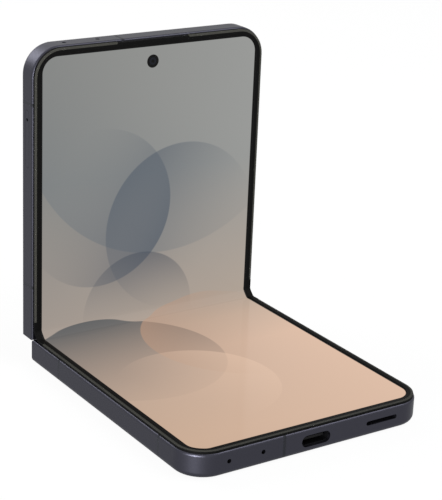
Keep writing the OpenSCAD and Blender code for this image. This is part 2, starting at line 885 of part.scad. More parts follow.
// Ear that carries the shafts and the idler pins
module base_ear(x0) {
    difference() {
        union() {
            for (side = [-1, 1]) rod_x(x0, ear_t, side * axis_s, axis_v, ear_r);
            translate([x0, -axis_s, spine_floor_v])
                cube([ear_t, 2 * axis_s, axis_v + ear_r - ear_web_drop - spine_floor_v]);
        }
        for (side = [-1, 1]) rod_x(x0 - 1, ear_t + 2, side * axis_s, axis_v, shaft_r + running_gap);
    }
}

module hinge_bases() {
    color([0.45, 0.45, 0.47])
        in_spine() both_modules() difference() {
            union() {
                base_ear(-inner_ear_x - ear_t);
                base_ear(inner_ear_x);
                base_ear(outer_ear_x);
                translate([-inner_ear_x - ear_t - base_foot, -axis_s, spine_floor_v])
                    cube([inner_ear_x + 2 * ear_t + outer_ear_x + 2 * base_foot, 2 * axis_s, base_slab_h]);
            }
            for (side = [-1, 1])
                rod_x(-inner_ear_x - ear_t - bite, 2 * (inner_ear_x + ear_t + bite), side * idler_u,
                    idler_v, idler_pin_r + press_gap);
            // Room for the middle gears
            for (side = [-1, 1])
                rod_x(-inner_ear_x, 2 * inner_ear_x, side * idler_u, idler_v, gear_tip_r + side_gap);
            module_screw_places() translate([0, 0, -1]) cylinder(h = 3, r = screw_r + fit_gap);
        }
}

// Screws through the two feet of a hinge base, into the floor of the spine cover
module module_screw_places() {
    for (x = [-inner_ear_x - ear_t - base_foot / 2, outer_ear_x + ear_t + base_foot / 2])
        translate([x, 0, spine_floor_v]) children();
}

module spine_screw_places() {
    both_modules() module_screw_places() children();
}

module spine_screws() {
    color([0.35, 0.35, 0.37])
        in_spine() spine_screw_places() {
            translate([0, 0, -spine_screw_depth])
                cylinder(h = base_slab_h + spine_screw_depth, r = screw_r);
            translate([0, 0, base_slab_h]) cylinder(h = screw_head_h, r = screw_head_r);
        }
}

module idler_pins() {
    color([0.7, 0.7, 0.72])
        in_spine() both_modules()
            for (side = [-1, 1])
                rod_x(-inner_ear_x - ear_t, 2 * (inner_ear_x + ear_t), side * idler_u, idler_v, idler_pin_r);
}

module disc_springs() {
    color([0.6, 0.55, 0.45])
        in_spine() both_modules()
            for (side = [-1, 1], i = [0 : disc_count - 1])
                difference() {
                    rod_x(disc_x + i * disc_pitch, disc_t, side * axis_s, axis_v, ear_r);
                    rod_x(disc_x - 1, disc_count * disc_pitch + 2, side * axis_s, axis_v,
                        shaft_r + running_gap);
                }
}

// Screws that hold the hinge arms up against the frame's plate
module arm_screws() {
    arm_screw_places() {
        translate([0, 0, -mid_plate_t - arm_t])
            cylinder(h = mid_plate_t + arm_t - arm_screw_cover - 0.05, r = screw_r - press_gap);
        translate([0, 0, -mid_plate_t - arm_t - screw_head_h])
            cylinder(h = screw_head_h, r = screw_head_r);
    }
}

module lower_screws() {
    color([0.35, 0.35, 0.37]) in_lower_half() arm_screws();
}

module upper_screws() {
    color([0.35, 0.35, 0.37]) in_upper_half() arm_screws();
}

// Flat cable from the main board, round the bend inside the spine, to the charging board
module interconnect_flex() {
    color([0.55, 0.35, 0.12])
        bend(-flex_w / 2, flex_w, -flex_v, flex_t - flex_v,
            charging_board_s - fit_gap, main_board_s - fit_gap);
}

// ---------------------------------------------------------------- inside the lower half

module lower_battery() {
    color([0.15, 0.15, 0.17])
        in_lower_half()
            translate([-battery_x, battery_s, lower_battery_back_v])
                cube([2 * battery_x, lower_battery_end - battery_s,
                    battery_top_v - lower_battery_back_v]);
}

module charging_coil() {
    color([0.72, 0.42, 0.2])
        in_lower_half()
            translate([0, (battery_s + lower_battery_end) / 2, coil_back_v])
                difference() {
                    cylinder(h = coil_t, r = coil_r);
                    translate([0, 0, -1]) cylinder(h = coil_t + 2, r = coil_r * 0.5);
                }
}

module charging_board() {
    color([0.05, 0.2, 0.15])
        in_lower_half() difference() {
            half_slab(wall_t + board_edge_gap, charging_board_s, board_back_v, board_top_v);
            // Cut back beside the loudspeaker
            translate([speaker_x0 - side_gap, charging_board_s + board_bridge, board_back_v - 1])
                cube([speaker_w + 2 * side_gap, charging_board_len, board_t + 2]);
        }
}

module usb_c_shell() {
    color([0.55, 0.55, 0.57])
        in_lower_half() difference() {
            slot_y(port_x, port_front_s - port_len, port_len, -port_depth, shell_w, shell_h);
            slot_y(port_x, port_front_s - port_len + port_back_wall, port_len, -port_depth,
                shell_w - 2 * port_wall, shell_h - 2 * port_wall);
        }
}

module usb_c_tongue() {
    color([0.08, 0.08, 0.09])
        in_lower_half()
            translate([port_x - tongue_w / 2, port_front_s - port_len + port_back_wall,
                    -port_depth - tongue_t / 2])
                cube([tongue_w, port_len - port_back_wall - tongue_setback, tongue_t]);
}

module loudspeaker() {
    color([0.12, 0.12, 0.13])
        in_lower_half() difference() {
            translate([speaker_x0, cavity_end - side_gap - speaker_depth, speaker_back_v])
                cube([speaker_w, speaker_depth, mid_back_v - hang_gap - speaker_back_v]);
            // Keeps clear of the rounded corner of the cavity
            difference() {
                translate([speaker_x0 - 1, half_len - corner_r, speaker_back_v - 1])
                    cube([speaker_w + 2, corner_r, body_t]);
                half_slab(wall_t + side_gap, 0, -body_t, 0);
            }
        }
}

module loudspeaker_mesh() {
    color([0.1, 0.1, 0.1])
        in_lower_half()
            slot_y(speaker_slot_x, cavity_end + side_gap, speaker_mesh_t, end_mic_v,
                speaker_slot_len - 2 * fit_gap, speaker_slot_h - 2 * fit_gap);
}

module vibration_motor() {
    color([0.6, 0.6, 0.62])
        in_lower_half()
            translate([motor_x0, cavity_end - motor_end, board_back_v - motor_h])
                cube([motor_w, motor_len, motor_h]);
}

module microphones() {
    for (x = [mic_outer_x, mic_inner_x])
        translate([-x - mic_w / 2, cavity_end - side_gap - mic_len, board_back_v - mic_t])
            cube([mic_w, mic_len, mic_t]);
}

module bottom_microphones() {
    color([0.75, 0.68, 0.45]) in_lower_half() microphones();
}

// ---------------------------------------------------------------- inside the upper half

// Bare corner beside the main board's stem, where the rear cameras are
module board_outline_cut() {
    translate([board_stem_w + board_edge_gap - cavity_x, rear_camera_s - ring_r - 1.2, board_back_v - 1])
        cube([3 * half_w, half_len, board_t + 2]);
}

module main_board() {
    color([0.05, 0.2, 0.15])
        in_upper_half() difference() {
            half_slab(wall_t + board_edge_gap, main_board_s, board_back_v, board_top_v);
            board_outline_cut();
            // Cut back for the switches of the side keys
            translate([cavity_x - wall_t, volume_s - volume_len / 2 - 1.5, board_back_v - 1])
                cube([wall_t + 1, volume_len + 3, board_t + 2]);
        }
}

module shield_cans() {
    cans = [[left_can_x0, left_can_w], [right_can_x0, right_can_w]];
    color([0.65, 0.65, 0.67])
        in_upper_half()
            for (can = cans)
                translate([can[0], main_board_s + can_edge, board_back_v - can_h])
                    cube([can[1], can_len, can_h]);
}

module upper_battery() {
    back_v = cover_display_back_v + cover_display_t + coil_air;
    color([0.15, 0.15, 0.17])
        in_upper_half()
            translate([-battery_x, battery_s, back_v])
                cube([2 * battery_x, upper_battery_end - battery_s, battery_top_v - back_v]);
}

module cover_display() {
    display_end = rear_camera_s - ring_r - 1.5;
    color([0.1, 0.1, 0.12])
        in_upper_half()
            translate([-cavity_x + side_gap, cavity_s + side_gap, cover_display_back_v])
                cube([2 * (cavity_x - side_gap), display_end - cavity_s - side_gap, cover_display_t]);
}

module camera_rings() {
    color([0.3, 0.3, 0.35])
        in_upper_half()
            for (x = [wide_x, ultra_x])
                translate([x, rear_camera_s, -body_t - ring_proud])
                    difference() {
                        cylinder(h = ring_foot_v + body_t + ring_proud, r = ring_r);
                        translate([0, 0, -1]) cylinder(h = body_t, r = window_r - window_ledge);
                        translate([0, 0, -1]) cylinder(h = 1 + window_recess + window_t, r = window_r);
                    }
}

module camera_windows() {
    color([0.03, 0.03, 0.05])
        in_upper_half()
            for (x = [wide_x, ultra_x])
                translate([x, rear_camera_s, -body_t - ring_proud + window_recess])
                    cylinder(h = window_t, r = window_r - fit_gap);
}

module rear_camera(x, size, barrel_r) {
    front_v = -body_t - ring_proud + window_recess + window_t + lens_gap;
    body_v = ring_foot_v + 0.05;
    translate([x, rear_camera_s, front_v]) cylinder(h = body_v - front_v + bite, r = barrel_r);
    translate([x - size / 2, rear_camera_s - size / 2, body_v])
        cube([size, size, mid_back_v - hang_gap - body_v]);
}

module wide_camera() {
    color([0.1, 0.1, 0.12]) in_upper_half() rear_camera(wide_x, wide_size, wide_barrel_r);
}

module ultra_wide_camera() {
    color([0.1, 0.1, 0.12]) in_upper_half() rear_camera(ultra_x, ultra_size, ultra_barrel_r);
}

module flash_lens() {
    color([0.95, 0.92, 0.8])
        in_upper_half()
            translate([flash_x, rear_camera_s, frame_back_v]) cylinder(h = flash_len, r = flash_r);
}

module front_camera() {
    size = front_camera_size;
    body_v = mid_back_v - hang_gap;
    color([0.02, 0.02, 0.03])
        in_upper_half()
            translate([0, front_camera_s, 0]) {
                translate([0, 0, body_v - bite])
                    cylinder(h = -panel_t - stack_gap - body_v + bite, r = front_camera_barrel_r);
                translate([-size / 2, -size / 2, front_camera_back_v])
                    cube([size, cavity_end - side_gap - front_camera_s + size / 2,
                        body_v - front_camera_back_v]);
            }
}

// Stands beside the front camera, with its mouth against the frame's channel
module earpiece_speaker() {
    x0 = -front_camera_size / 2 - side_gap - earpiece_w;
    color([0.12, 0.12, 0.13])
        in_upper_half()
            translate([x0, cavity_end - side_gap - earpiece_depth, earpiece_back_v])
                cube([earpiece_w, earpiece_depth, board_back_v - side_gap - earpiece_back_v]);
}

module earpiece_mesh() {
    color([0.06, 0.06, 0.06])
        in_upper_half()
            translate([-earpiece_len / 2 + fit_gap, half_len - panel_margin + 2 * fit_gap, seat_v + 0.05])
                cube([earpiece_len - 2 * fit_gap, panel_margin - earpiece_wall - 4 * fit_gap,
                    earpiece_mesh_t]);
}

module top_microphones() {
    color([0.75, 0.68, 0.45]) in_upper_half() microphones();
}

// ---------------------------------------------------------------- side keys

// Cap that comes out through the frame's slot, on a flange that keeps it in with some play
module side_key(s, len, play) {
    x0 = cavity_x - key_flange_t - play;
    slot_x(x0, half_w + key_proud - x0, s, key_v, len, key_h);
    slot_x(x0, key_flange_t, s, key_v, len + 2 * key_flange_over, key_h + 2 * key_flange_over);
}

// Stubs above and below the volume key, let into the frame
module volume_pin(reach, r) {
    translate([volume_pivot_x, volume_s, key_v - key_h / 2 - reach]) cylinder(h = key_h + 2 * reach, r = r);
}

module power_key() {
    color([0.3, 0.3, 0.35]) in_upper_half() side_key(power_s, power_len, fit_gap);
}

module volume_key() {
    color([0.3, 0.3, 0.35])
        in_upper_half() {
            side_key(volume_s, volume_len, volume_play);
            volume_pin(volume_pin_reach, volume_pin_r);
        }
}

// Dome switches on a bent bracket that hangs from the frame's plate
module side_key_switches() {
    keys = [[power_s, power_len, fit_gap, [0]], [volume_s, volume_len, volume_play, [-1, 1]]];
    color([0.6, 0.5, 0.2])
        in_upper_half()
            for (key = keys) {
                switch_x = cavity_x - key_flange_t - key[2] - key_travel - switch_gap - switch_t;
                translate([switch_x - bracket_t, key[0] - key[1] / 2, key_v - key_h / 2])
                    cube([bracket_t, key[1], mid_back_v - key_v + key_h / 2]);
                for (place = key[3])
                    rod_x(switch_x - bite / 2, switch_t + bite / 2, key[0] + place * key[1] / 3, key_v,
                        switch_r);
            }
}

// ---------------------------------------------------------------- SIM tray

module sim_tray() {
    color([0.27, 0.27, 0.32])
        in_upper_half() difference() {
            union() {
                slot_x(-half_w, tray_face_t, tray_s, tray_v, tray_len, tray_h);
                translate([carrier_x - bite, carrier_s - carrier_w / 2, tray_v - carrier_t / 2])
                    cube([carrier_len + bite, carrier_w, carrier_t]);
            }
            // Pocket of the card, open at the back
            translate([pocket_x - fit_gap, carrier_s - sim_w / 2 - fit_gap, tray_v - carrier_t])
                cube([sim_len + 2 * fit_gap, sim_w + 2 * fit_gap, 1.5 * carrier_t - pocket_floor]);
            // Hole for the eject pin
            rod_x(-half_w - 1, tray_face_t + 2, eject_s, tray_v, eject_r);
            // Groove of the seal
            difference() {
                slot_x(seal_x - fit_gap / 2, seal_w + fit_gap, tray_s, tray_v, tray_len + 1, tray_h + 1);
                slot_x(seal_x - 1, seal_w + 2, tray_s, tray_v,
                    tray_len - 2 * seal_depth, tray_h - 2 * seal_depth);
            }
        }
}

module sim_tray_seal() {
    color([0.05, 0.05, 0.05])
        in_upper_half() difference() {
            slot_x(seal_x, seal_w, tray_s, tray_v, tray_len + fit_gap, tray_h + fit_gap);
            slot_x(seal_x - 1, seal_w + 2, tray_s, tray_v,
                tray_len - 2 * seal_depth + fit_gap, tray_h - 2 * seal_depth + fit_gap);
        }
}

module sim_card() {
    color([0.85, 0.85, 0.86])
        in_upper_half()
            translate([pocket_x, carrier_s - sim_w / 2, tray_v + carrier_t / 2 - pocket_floor - sim_t])
                cube([sim_len, sim_w, sim_t]);
}

// Sheet-metal cage on the main board that the tray slides into
module sim_socket() {
    inner_h = carrier_t + 2 * side_gap;
    inner_w = carrier_w + 2 * side_gap;
    x0 = -cavity_x + board_edge_gap;
    len = carrier_x + carrier_len + side_gap - x0;
    back_v = tray_v - inner_h / 2;
    color([0.65, 0.65, 0.67])
        in_upper_half() difference() {
            translate([x0, carrier_s - inner_w / 2 - socket_wall, back_v - socket_wall])
                cube([len + socket_wall, inner_w + 2 * socket_wall, board_back_v - back_v + socket_wall]);
            translate([x0 - 1, carrier_s - inner_w / 2, back_v]) cube([len + 1, inner_w, inner_h]);
        }
}

lower_frame();
lower_antenna_breaks();
lower_back_cover();
lower_cover_tape();
lower_battery();
charging_board();
usb_c_shell();
usb_c_tongue();
loudspeaker();
loudspeaker_mesh();
vibration_motor();
charging_coil();
bottom_microphones();
lower_bezel();
lower_display_plate();
lower_display_panel();
lower_hinge_arms();
lower_gear_shafts();
lower_screws();
spine_cover();
hinge_bases();
idler_pins();
disc_springs();
spine_screws();
fold_display();
fold_steel_sheet();
fold_edge_strips();
interconnect_flex();
lower_idler_gears();
upper_idler_gears();
upper_frame();
upper_antenna_breaks();
upper_back_cover();
upper_cover_tape();
cover_display();
main_board();
shield_cans();
upper_battery();
wide_camera();
ultra_wide_camera();
camera_rings();
camera_windows();
flash_lens();
front_camera();
earpiece_speaker();
earpiece_mesh();
upper_bezel();
upper_display_plate();
upper_display_panel();
upper_hinge_arms();
upper_gear_shafts();
top_microphones();
side_key_switches();
upper_screws();
sim_socket();
sim_tray();
sim_card();
sim_tray_seal();
power_key();
volume_key();
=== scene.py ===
import math

import bmesh
import bpy
from mathutils import Matrix, Vector


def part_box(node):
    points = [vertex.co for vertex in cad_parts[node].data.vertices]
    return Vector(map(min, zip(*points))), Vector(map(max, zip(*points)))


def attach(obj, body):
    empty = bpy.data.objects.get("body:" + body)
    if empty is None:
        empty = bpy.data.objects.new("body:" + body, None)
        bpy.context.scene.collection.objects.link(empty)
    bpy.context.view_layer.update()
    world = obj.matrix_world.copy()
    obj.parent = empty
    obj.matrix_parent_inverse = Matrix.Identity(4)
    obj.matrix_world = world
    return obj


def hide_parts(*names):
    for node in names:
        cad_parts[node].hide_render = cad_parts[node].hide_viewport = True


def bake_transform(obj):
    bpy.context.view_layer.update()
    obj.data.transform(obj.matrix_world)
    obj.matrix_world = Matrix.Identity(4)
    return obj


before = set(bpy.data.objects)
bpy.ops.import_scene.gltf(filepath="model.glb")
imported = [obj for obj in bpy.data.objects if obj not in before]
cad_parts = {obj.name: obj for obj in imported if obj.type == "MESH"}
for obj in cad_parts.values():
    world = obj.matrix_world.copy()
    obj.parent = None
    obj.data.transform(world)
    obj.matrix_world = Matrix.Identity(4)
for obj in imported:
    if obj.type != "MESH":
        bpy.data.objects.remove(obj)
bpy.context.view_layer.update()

# ------------------------------------------------------------------ camera
# The photograph's camera, found from the straight edges of the body and the display. Its place is
# given along its own axes, from the line where the planes of the two displays meet.
MM = 1000  # millimetres to the metre
FOLD_Y, FOLD_Z, CORNER = 38.0108, 7.25, 0.8716  # middle of the fold when flat, and its loss at rest
AZIMUTH, ELEVATION, ROLL = (math.radians(angle) for angle in (-34.292, 19.942, 2.438))
AWAY, RIGHTWARD, UPWARD = 477.743, 21.763, 19.108
FOCAL_PIXELS, PICTURE_PIXELS = 1641.288, 442

back = Vector((math.sin(AZIMUTH) * math.cos(ELEVATION), -math.cos(AZIMUTH) * math.cos(ELEVATION),
               math.sin(ELEVATION)))
level = Vector((math.cos(AZIMUTH), math.sin(AZIMUTH), 0))
rise = back.cross(level)
right = level * math.cos(ROLL) + rise * math.sin(ROLL)
up = rise * math.cos(ROLL) - level * math.sin(ROLL)
eye = Vector((0, FOLD_Y - CORNER, FOLD_Z)) + back * AWAY + right * RIGHTWARD + up * UPWARD

scene = bpy.context.scene
camera_data = bpy.data.cameras.new("camera")
camera_data.sensor_fit = "HORIZONTAL"
camera_data.sensor_width = 36
camera_data.lens = camera_data.sensor_width * FOCAL_PIXELS / PICTURE_PIXELS
camera_data.clip_start, camera_data.clip_end = 0.01, 20
camera = bpy.data.objects.new("camera", camera_data)
scene.collection.objects.link(camera)
camera.matrix_world = Matrix([[right[i], up[i], back[i], eye[i] / MM] for i in range(3)]
                             + [[0, 0, 0, 1]])
scene.camera = camera


# ------------------------------------------------------------------ studio
# A pale studio that the camera sees as white, with the phone on its floor. Soft lights low at the
# front left, high behind on the left, high on the right and high behind draw lines along the metal.
class Value:
    """A socket of some nodes. Arithmetic on it adds Math nodes."""

    def __init__(self, tree, socket):
        self.tree, self.socket = tree, socket

    def node(self, kind, inputs, outlet=0, **settings):
        """Adds a node of another kind. inputs maps a socket's name or number to its value."""
        made = self.tree.nodes.new("ShaderNode" + kind)
        for key, value in settings.items():
            setattr(made, key, value)
        for key, value in inputs.items():
            if isinstance(value, Value):
                self.tree.links.new(value.socket, made.inputs[key])
            else:
                made.inputs[key].default_value = value
        return Value(self.tree, made.outputs[outlet])

    def feed(self, node, socket):
        self.tree.links.new(self.socket, node.inputs[socket])

    def parts(self):
        """The x, y and z of a vector."""
        split = self.node("SeparateXYZ", {0: self}).socket.node
        return [Value(self.tree, number) for number in split.outputs]

    def math(self, operation, a, b=0.0):
        return self.node("Math", {0: a, 1: b}, operation=operation)

    def __add__(self, other): return self.math("ADD", self, other)
    def __radd__(self, other): return self.math("ADD", other, self)
    def __sub__(self, other): return self.math("SUBTRACT", self, other)
    def __rsub__(self, other): return self.math("SUBTRACT", other, self)
    def __mul__(self, other): return self.math("MULTIPLY", self, other)
    def __rmul__(self, other): return self.math("MULTIPLY", other, self)
    def __truediv__(self, other): return self.math("DIVIDE", self, other)
    def __pow__(self, other): return self.math("POWER", self, other)
    def __abs__(self): return self.math("ABSOLUTE", self)

    def most(self, other): return self.math("MAXIMUM", self, other)
    def least(self, other): return self.math("MINIMUM", self, other)

    def ramp(self, low, high):
        """0 at low and 1 at high, straight between them and held beyond. High may be under low."""
        return self.node("MapRange", {0: self, 1: low, 2: high, 3: 0.0, 4: 1.0})

    def noise(self, scale, detail=3.0, stretch=(1, 1, 1)):
        """Noise from 0 to 1 with scale cells to the millimetre, from coordinates in metres."""
        vector = self.node("Mapping", {"Vector": self, "Scale": [MM * k for k in stretch]})
        return self.node("TexNoise", {"Vector": vector, "Scale": scale, "Detail": detail})

    def blend(self, first, second):
        """Colour mixed from first to second by this factor."""
        return self.node("Mix", {0: self, 6: first, 7: second}, outlet=2, data_type="RGBA")


def new_material(name, **fixed):
    """A Principled material and its object coordinates. fixed are plain values of its sockets."""
    material = bpy.data.materials.new(name)
    material.use_nodes = True
    shader = material.node_tree.nodes["Principled BSDF"]
    for key, value in fixed.items():
        shader.inputs[key.replace("_", " ")].default_value = value
    coordinates = material.node_tree.nodes.new("ShaderNodeTexCoord")
    return material, shader, Value(material.node_tree, coordinates.outputs["Object"])


def pale_rays(tree):
    """1 for the rays that see the studio itself, straight or in metal and glass."""
    path = tree.nodes.new("ShaderNodeLightPath").outputs
    seen, mirrored, through = (Value(tree, path[name]) for name in
                               ("Is Camera Ray", "Is Glossy Ray", "Is Transmission Ray"))
    return seen.most(mirrored).most(through)


scene.view_settings.view_transform = "Standard"
world = bpy.data.worlds.new("studio")
world.use_nodes = True
scene.world = world
WORLD_GREY, WHITE = [0.3, 0.3, 0.31, 1], [1, 1, 1, 1]
sky = world.node_tree.nodes["Background"]
pale_rays(world.node_tree).blend(WORLD_GREY, WHITE).feed(sky, "Color")

AIM = Vector((0, 0, 0.04))  # a point in the phone that the lights face, in metres


def soft_light(name, direction, distance, width, height, power):
    """An area light in metres and watts, in a direction from the phone."""
    data = bpy.data.lights.new(name, "AREA")
    data.shape, data.size, data.size_y, data.energy = "RECTANGLE", width, height, power
    lamp = bpy.data.objects.new(name, data)
    scene.collection.objects.link(lamp)
    lamp.location = AIM + Vector(direction).normalized() * distance
    lamp.rotation_euler = (AIM - lamp.location).to_track_quat("-Z", "Y").to_euler()


soft_light("front_left_light", (-0.8, -0.56, 0.022), 0.9, 0.4, 0.12, 14.0)
soft_light("back_left_light", (-0.36, 0.76, 0.53), 0.9, 0.45, 0.45, 4.6)
soft_light("right_light", (0.5, -0.36, 0.78), 0.9, 0.75, 0.75, 8.0)
soft_light("back_light", (0.15, 0.7, 0.6), 1.1, 0.6, 0.6, 1.2)

FLOOR_REACH, FLOOR_GLOW = 6, 0.94  # metres each way, and the share of white that the camera sees
FLOOR_DARK, FLOOR_LIGHT = [0.8, 0.8, 0.8, 1], [0.84, 0.84, 0.84, 1]
floor_mesh = bpy.data.meshes.new("floor")
floor_mesh.from_pydata([(x * FLOOR_REACH, y * FLOOR_REACH, 0)
                        for x, y in ((-1, -1), (1, -1), (1, 1), (-1, 1))], [], [(0, 1, 2, 3)])
floor = bpy.data.objects.new("floor", floor_mesh)
scene.collection.objects.link(floor)
floor_paint, floor_shader, floor_place = new_material("floor_paint", Roughness=0.9)
mottle = floor_place.node("TexNoise", {"Vector": floor_place, "Scale": 8.0, "Detail": 3.0})
mottle.blend(FLOOR_DARK, FLOOR_LIGHT).feed(floor_shader, "Base Color")
floor_tree = floor_paint.node_tree
glow = floor_tree.nodes.new("ShaderNodeEmission")
glow_share = pale_rays(floor_tree) * FLOOR_GLOW
mixed = glow_share.node("MixShader", {0: glow_share, 1: Value(floor_tree, floor_shader.outputs[0]),
                                      2: Value(floor_tree, glow.outputs[0])})
mixed.feed(floor_tree.nodes["Material Output"], "Surface")
floor.data.materials.append(floor_paint)


# ------------------------------------------------------------------ frames
# The tray that each half is built in, milled from a block of aluminium, blasted to a satin skin
# and anodised in a dark grey that leans to blue.
NOISE_RANGE = (0.3, 0.7)  # where most of a noise lies
FINE_SHARE, BROAD_GRAIN, BUMP_STRENGTH = 0.6, 0.05, 0.35


def srgb(r, g, b):
    """The linear colour of one with channels from 0 to 255."""
    return [((c / 255 + 0.055) / 1.055) ** 2.4 if c > 10 else c / 255 / 12.92 for c in (r, g, b)] + [1]


def finish(name, colour, rough, metallic=0.0, grain=2.0, tint=0.1, wear=0.1, bump=0.004,
           stretch=(1, 1, 1), **fixed):
    """A finish whose colour, roughness and surface vary with fine and broad noise. grain is its
    cells to the millimetre and bump its depth in millimetres."""
    material, shader, place = new_material(name, Metallic=metallic, **fixed)
    fine = place.noise(grain, stretch=stretch)
    broad = place.noise(BROAD_GRAIN, 2.0)
    dark = [c * (1 - tint) for c in colour[:3]] + [1]
    light = [min(1, c * (1 + tint)) for c in colour[:3]] + [1]
    shade = (fine * FINE_SHARE + broad * (1 - FINE_SHARE)).ramp(*NOISE_RANGE)
    shade.blend(dark, light).feed(shader, "Base Color")
    (fine * wear + broad * wear + (rough - wear)).feed(shader, "Roughness")
    relief = {"Height": fine, "Strength": BUMP_STRENGTH, "Distance": bump / MM}
    place.node("Bump", relief).feed(shader, "Normal")
    return material


def dress(material, *nodes):
    """Puts a material on CAD pieces."""
    for name in nodes:
        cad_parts[name].data.materials.clear()
        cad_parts[name].data.materials.append(material)


anodised = finish("anodised_frame", srgb(57, 57, 65), 0.4, 1.0, grain=5.0, tint=0.05, bump=0.003,
                  Specular_Tint=[0.75, 0.75, 0.75, 1])
dress(anodised, "lower_frame", "upper_frame")

# ------------------------------------------------------------------ antenna breaks
# Thin bars of dyed plastic, moulded into slits of the frames before these are milled to shape.
# They part the metal so that it works as aerials.
dress(finish("antenna_break", srgb(26, 27, 32), 0.5, grain=3.0, Specular_IOR_Level=0.1),
      "lower_antenna_breaks", "upper_antenna_breaks")

# ------------------------------------------------------------------ spine
# The bent aluminium channel over the hinge, anodised with the frames, and the cast steel bases of
# the two hinge modules, which are screwed into it.
dress(anodised, "spine_cover")
cast_steel = finish("cast_steel", srgb(122, 122, 127), 0.42, 1.0, grain=3.0, bump=0.01)
dress(cast_steel, "hinge_bases")

# ------------------------------------------------------------------ hinge arms and gears
# Cast steel arms that carry the halves, on turned steel shafts with a timing gear each. Between
# the shafts sit two small sintered gears on pins, and sprung washers give the fold its drag.
dress(cast_steel, "lower_hinge_arms", "upper_hinge_arms")
dress(finish("turned_steel", srgb(168, 168, 172), 0.25, 1.0, grain=8.0, stretch=(1, 0.1, 0.1)),
      "lower_gear_shafts", "upper_gear_shafts", "idler_pins")
dress(finish("sintered_gear", srgb(150, 142, 120), 0.4, 1.0, grain=7.0, bump=0.008),
      "lower_idler_gears", "upper_idler_gears")
dress(finish("spring_washer", srgb(160, 150, 130), 0.3, 1.0, grain=9.0), "disc_springs")

# ------------------------------------------------------------------ screws
# Small blackened steel screws that hold the arms to the frames and the bases to the spine.
# Their heads lie under the display and the covers.
dress(finish("blackened_screw", srgb(70, 70, 73), 0.38, 1.0, grain=6.0), "lower_screws",
      "upper_screws", "spine_screws")

# ------------------------------------------------------------------ circuit boards
# Glass fibre boards under green mask, screwed into the frames. Stamped steel cans are soldered
# over their chips, and the switches and microphones have gilt contacts.
dress(finish("board_mask", srgb(16, 60, 45), 0.5, grain=1.5, tint=0.3), "charging_board", "main_board")
stamped_steel = finish("stamped_steel", srgb(150, 150, 154), 0.3, 1.0, grain=3.0, stretch=(0.2, 3, 3))
dress(stamped_steel, "shield_cans")
dress(finish("gold_contact", srgb(205, 170, 105), 0.3, 1.0, grain=4.0), "bottom_microphones",
      "top_microphones", "side_key_switches")

# ------------------------------------------------------------------ batteries and charging coil
# Two lithium cells in dark foil pouches, glued into the frames, and a flat coil of copper wire
# behind the lower back cover that takes charge from a pad.
dress(finish("cell_foil", srgb(66, 66, 70), 0.45, 0.6, grain=1.0, bump=0.02), "lower_battery",
      "upper_battery")
dress(finish("coil_copper", srgb(190, 115, 70), 0.35, 1.0, grain=4.0), "charging_coil")

# ------------------------------------------------------------------ sound, vibration and cameras
# Speaker boxes and camera barrels moulded in black plastic, and the motor in a drawn steel case.
# All are pressed into pockets of the frames.
dress(finish("moulded_black", srgb(28, 28, 30), 0.5, grain=3.0), "loudspeaker", "earpiece_speaker",
      "wide_camera", "ultra_wide_camera", "front_camera")
dress(stamped_steel, "vibration_motor")

# ------------------------------------------------------------------ sound meshes
# Fine black wire, woven in crossing rows, behind the loudspeaker's slot and in the earpiece's.
# Each is cut to its slot and glued in from the inside.
LOUDSPEAKER_PITCH, EARPIECE_PITCH = 0.27, 0.186
WIRE_SHARE = 0.5  # of the pitch


def row_tree(name, material):
    """Two straight rows of like boxes. Each is given its count, the middle of its first box, the
    step to the next one and the size of a box."""
    tree = bpy.data.node_groups.new(name, "GeometryNodeTree")
    tree.interface.new_socket("Geometry", in_out="OUTPUT", socket_type="NodeSocketGeometry")
    for row in ("First", "Second"):
        tree.interface.new_socket(row + " count", in_out="INPUT", socket_type="NodeSocketInt")
        for word in ("start", "step", "box"):
            tree.interface.new_socket(f"{row} {word}", in_out="INPUT", socket_type="NodeSocketVector")
    given = tree.nodes.new("NodeGroupInput").outputs

    def add(kind, links, **settings):
        made = tree.nodes.new("GeometryNode" + kind)
        for key, value in settings.items():
            setattr(made, key, value)
        for key, value in links.items():
            if isinstance(value, bpy.types.NodeSocket):
                tree.links.new(value, made.inputs[key])
            else:
                made.inputs[key].default_value = value
        return made.outputs[0]

    both = tree.nodes.new("GeometryNodeJoinGeometry")
    for row in ("First", "Second"):
        line = add("MeshLine", {"Count": given[row + " count"], "Start Location": given[row + " start"],
                                "Offset": given[row + " step"]})
        box = add("MeshCube", {"Size": given[row + " box"]})
        tree.links.new(add("InstanceOnPoints", {"Points": line, "Instance": box}), both.inputs[0])
    real = add("RealizeInstances", {0: both.outputs[0]})
    dressed = add("SetMaterial", {0: real, "Material": material})
    tree.links.new(dressed, tree.nodes.new("NodeGroupOutput").inputs[0])
    return tree


def rows_of_boxes(name, tree, *rows):
    """Plain mesh object of two rows, each as count, start, step and box in metres."""
    made = bpy.data.objects.new(name, bpy.data.meshes.new(name))
    scene.collection.objects.link(made)
    modifier = made.modifiers.new("rows", "NODES")
    modifier.node_group = tree
    sockets = {item.name: item.identifier for item in tree.interface.items_tree
               if item.in_out == "INPUT"}
    for row, sizes in zip(("First", "Second"), rows):
        for word, value in zip(("count", "start", "step", "box"), sizes):
            modifier[sockets[f"{row} {word}"]] = value
    made.update_tag()
    mesh = bpy.data.meshes.new_from_object(made.evaluated_get(bpy.context.evaluated_depsgraph_get()))
    made.modifiers.clear()
    made.data = mesh
    return made


